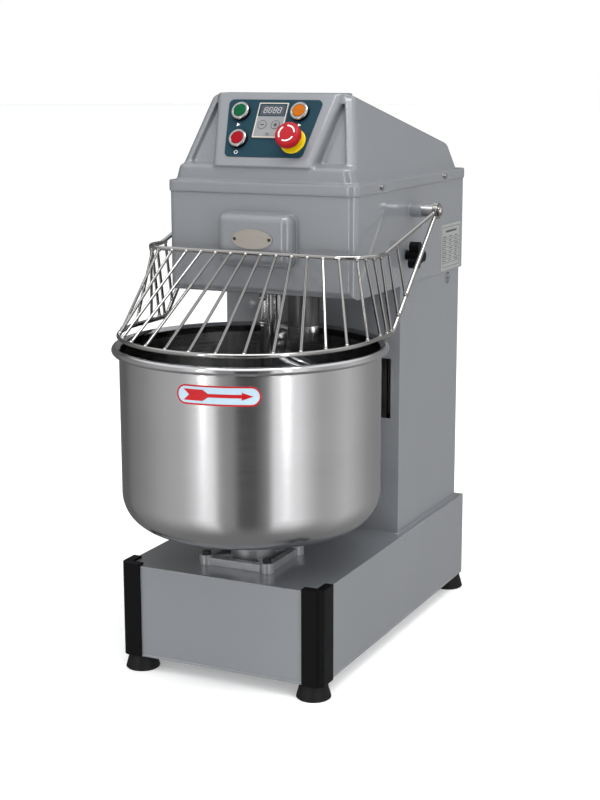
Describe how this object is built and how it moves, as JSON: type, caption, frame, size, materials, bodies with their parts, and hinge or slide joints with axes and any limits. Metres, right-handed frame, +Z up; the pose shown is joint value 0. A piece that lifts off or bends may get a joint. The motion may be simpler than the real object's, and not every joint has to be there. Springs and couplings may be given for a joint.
{
  "type": "spiral dough mixer",
  "caption": "Floor-standing spiral dough mixer: grey steel base and column, sloped control head, turning stainless bowl, spiral hook, breaker bar and lifting wire guard.",
  "frame": {"origin": "on the floor under the centre of the machine's box", "axes": "+Z up, -Y to the operator's side, +X to the operator's right"},
  "size_m": [0.4322, 0.731, 0.8954],
  "materials": {
    "painted_steel": "semi-gloss grey enamel",
    "black_plastic": "moulded black plastic",
    "black_rubber": "matt black rubber",
    "stainless": "spun and brushed stainless steel",
    "chrome_wire": "polished steel wire",
    "plated_steel": "zinc plated",
    "dark_steel": "oiled dark steel",
    "cast_alloy": "as cast light alloy",
    "teal_panel": "printed teal overlay",
    "timer_grey": "printed grey fascia with a beige edge",
    "timer_glass": "smoked window",
    "green_lens": "translucent green lens",
    "red_lens": "translucent red lens",
    "orange_lens": "translucent orange lens",
    "stop_red": "moulded red plastic",
    "stop_yellow": "moulded yellow plastic",
    "badge_metal": "brushed champagne metal",
    "label_film": "printed film with a red arrow",
    "plate_metal": "etched rating plate",
    "belt_rubber": "fabric backed rubber",
    "nylon": "white nylon"
  },
  "bodies": {
    "frame": {"base_plate": "painted_steel", "base_shell": "painted_steel", "bearing_spider": "cast_alloy", "bearing_units": "dark_steel", "breaker_bar": "stainless", "breaker_bolts": "chrome_wire", "breaker_post": "stainless", "button_bezels": "chrome_wire", "cable_gland": "black_plastic", "case_fixings": "plated_steel", "column_shell": "painted_steel", "contactor_box": "black_plastic", "control_panel_plate": "teal_panel", "corner_guards": "black_plastic", "drive_belts": "belt_rubber", "drive_chains": "dark_steel", "drive_deck": "plated_steel", "foot_studs": "plated_steel", "head_housing": "painted_steel", "motor": "cast_alloy", "name_badge": "badge_metal", "pivot_bushes": "plated_steel", "pivot_studs": "chrome_wire", "rating_plate": "plate_metal", "rear_door": "painted_steel", "roller_brackets": "dark_steel", "rubber_feet": "black_rubber", "spider_screws": "dark_steel", "stop_collar": "stop_yellow", "switch_bodies": "black_plastic", "timer_unit": "timer_grey", "timer_window": "timer_glass", "top_cover": "painted_steel"},
    "guard": {"guard_top_rod": "chrome_wire", "guard_ring_rod": "chrome_wire", "guard_bars": "chrome_wire"},
    "bowl": {"bowl": "stainless", "bowl_hub": "dark_steel", "rotation_label": "label_film", "bowl_sprocket": "dark_steel"},
    "spiral": {"spiral_hook": "stainless", "spiral_shaft": "stainless", "spiral_sprocket": "dark_steel"},
    "counter": {"counter_shaft": "plated_steel", "counter_sprockets": "dark_steel", "drive_pulley": "dark_steel"},
    "idler": {"idler_shaft": "plated_steel", "idler_sprockets": "dark_steel"},
    "rotor": {"motor_shaft": "plated_steel", "motor_pulley": "dark_steel"},
    "roller_left": {"guide_roller_left": "nylon"},
    "roller_right": {"guide_roller_right": "nylon"},
    "slow_button": {"slow_button": "green_lens"},
    "stop_button": {"stop_button": "red_lens"},
    "fast_button": {"fast_button": "orange_lens"},
    "stop_stem": {"stop_stem": "black_plastic"},
    "stop_mushroom": {"stop_mushroom": "stop_red"},
    "timer_key_minus": {"timer_key_minus": "timer_grey"},
    "timer_key_plus": {"timer_key_plus": "timer_grey"},
    "clamp_knob": {"clamp_knob": "black_plastic"}
  },
  "joints": [
    {"name": "guard_lift", "type": "hinge", "parent": "frame", "child": "guard", "pos_m": [0, 0.1055, 0.708], "axis": [-1, 0, 0], "range_deg": [0, 75]},
    {"name": "counter_spin", "type": "hinge", "parent": "frame", "child": "counter", "pos_m": [-0.07, 0.12, 0.3], "axis": [0, 0, 1], "continuous": true},
    {"name": "motor_spin", "type": "hinge", "parent": "frame", "child": "rotor", "pos_m": [0.04, 0.24, 0.3], "axis": [0, 0, 1], "continuous": true},
    {"name": "idler_spin", "type": "hinge", "parent": "frame", "child": "idler", "pos_m": [-0.055, 0, 0.3], "axis": [0, 0, 1], "continuous": true},
    {"name": "spiral_spin", "type": "hinge", "parent": "frame", "child": "spiral", "pos_m": [0.05, -0.067, 0.3], "axis": [0, 0, 1], "continuous": true},
    {"name": "bowl_spin", "type": "hinge", "parent": "frame", "child": "bowl", "pos_m": [0, -0.152, 0.3], "axis": [0, 0, 1], "continuous": true},
    {"name": "roller_left_spin", "type": "hinge", "parent": "frame", "child": "roller_left", "pos_m": [-0.115, 0.03238, 0.3], "axis": [0, 0, 1], "continuous": true},
    {"name": "roller_right_spin", "type": "hinge", "parent": "frame", "child": "roller_right", "pos_m": [0.115, 0.03238, 0.3], "axis": [0, 0, 1], "continuous": true},
    {"name": "slow_press", "type": "slide", "parent": "frame", "child": "slow_button", "axis": [0, 0.866, -0.5], "range_m": [0, 0.003], "stiffness_N_per_m": 400},
    {"name": "stop_press", "type": "slide", "parent": "frame", "child": "stop_button", "axis": [0, 0.866, -0.5], "range_m": [0, 0.003], "stiffness_N_per_m": 400},
    {"name": "fast_press", "type": "slide", "parent": "frame", "child": "fast_button", "axis": [0, 0.866, -0.5], "range_m": [0, 0.003], "stiffness_N_per_m": 400},
    {"name": "emergency_press", "type": "slide", "parent": "frame", "child": "stop_stem", "axis": [0, 0.866, -0.5], "range_m": [0, 0.004], "stiffness_N_per_m": 600},
    {"name": "emergency_twist", "type": "hinge", "parent": "stop_stem", "child": "stop_mushroom", "pos_m": [0.046, -0.11042, 0.83305], "axis": [0, 0.866, -0.5], "range_deg": [0, 40], "stiffness_Nm_per_rad": 0.05},
    {"name": "timer_minus_press", "type": "slide", "parent": "frame", "child": "timer_key_minus", "axis": [0, 0.866, -0.5], "range_m": [0, 0.001], "stiffness_N_per_m": 500},
    {"name": "timer_plus_press", "type": "slide", "parent": "frame", "child": "timer_key_plus", "axis": [0, 0.866, -0.5], "range_m": [0, 0.001], "stiffness_N_per_m": 500},
    {"name": "clamp_turn", "type": "hinge", "parent": "frame", "child": "clamp_knob", "pos_m": [0.17, 0.0885, 0.637], "axis": [1, 0, 0], "continuous": true}
  ],
  "couplings": [
    {"joint": "motor_spin", "follows": "counter_spin", "ratio": 3.3333},
    {"joint": "idler_spin", "follows": "counter_spin", "ratio": 0.3},
    {"joint": "spiral_spin", "follows": "counter_spin", "ratio": 0.66667},
    {"joint": "bowl_spin", "follows": "counter_spin", "ratio": 0.078261},
    {"joint": "roller_left_spin", "follows": "counter_spin", "ratio": -1.0539},
    {"joint": "roller_right_spin", "follows": "counter_spin", "ratio": -1.0539}
  ]
}
